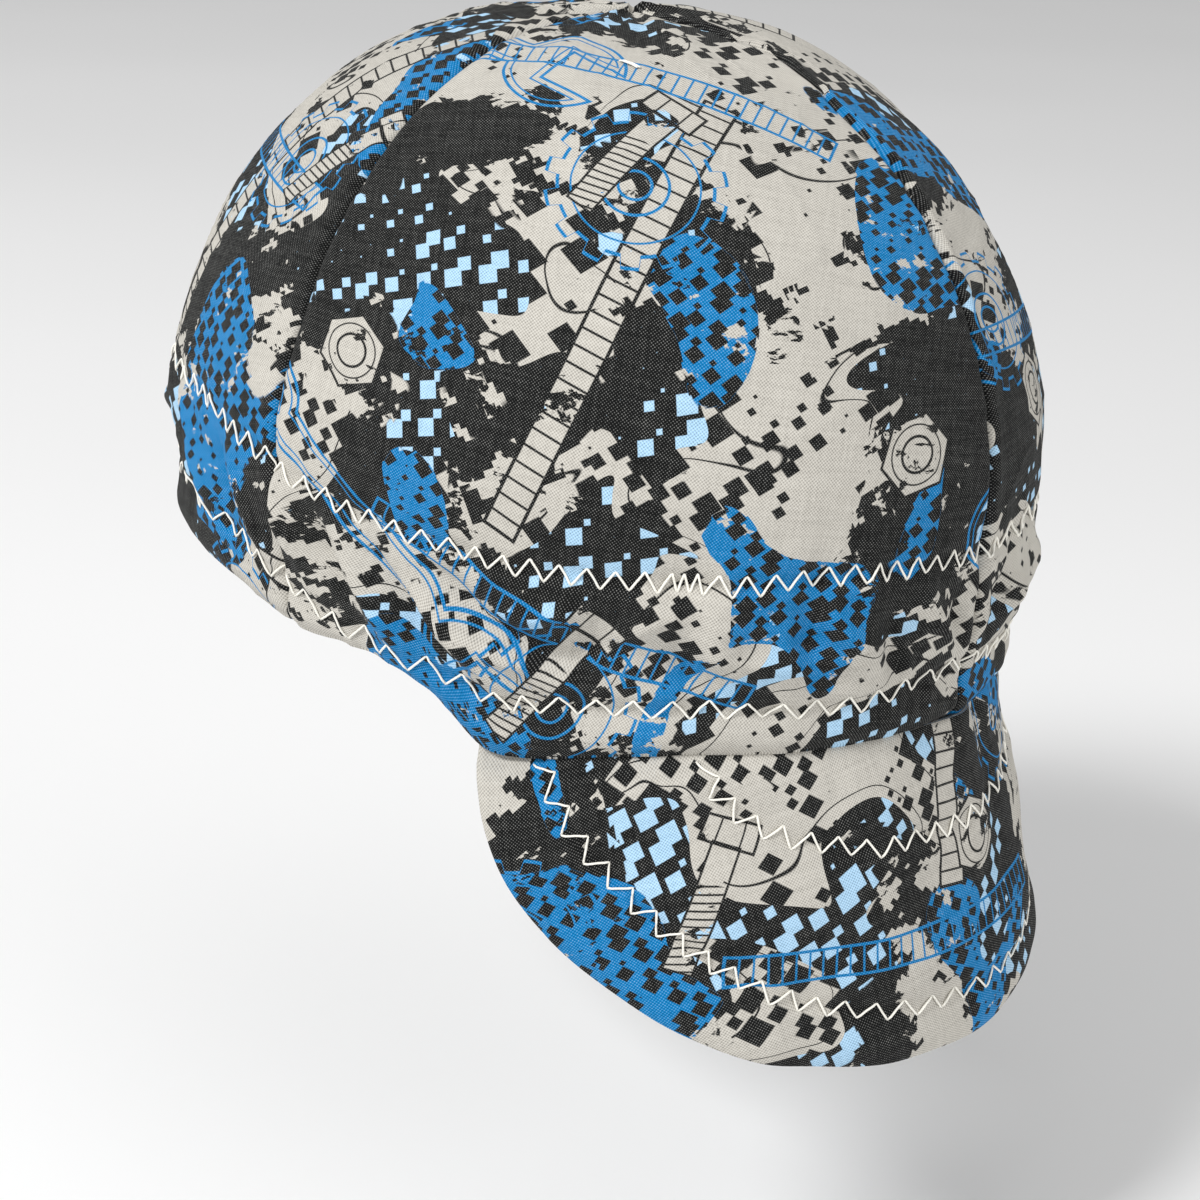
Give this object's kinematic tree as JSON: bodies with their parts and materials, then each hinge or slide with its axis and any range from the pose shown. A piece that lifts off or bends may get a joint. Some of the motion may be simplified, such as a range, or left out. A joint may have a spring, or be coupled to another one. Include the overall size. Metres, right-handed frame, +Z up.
{
  "type": "welding cap",
  "caption": "Soft printed cotton welding cap: a round crown of cloth panels with a turned-up hem and a short soft brim that hangs over the nape.",
  "frame": {"origin": "middle of the head opening, at the level of the rim", "axes": "+Z up as the cap is worn, -Y towards the brim, which hangs over the nape, X across the cap; it is alike on both sides of X = 0"},
  "size_m": [0.1712, 0.2149, 0.1987],
  "materials": {
    "printed_cotton": "plain-woven cotton printed in greige, charcoal and blue",
    "white_thread": "off-white sewing thread"
  },
  "bodies": {
    "root": {"crown_panel_front_left": "printed_cotton", "crown_panel_front_right": "printed_cotton", "crown_panel_back_left": "printed_cotton", "crown_panel_back_right": "printed_cotton", "brim": "printed_cotton"}
  },
  "joints": []
}
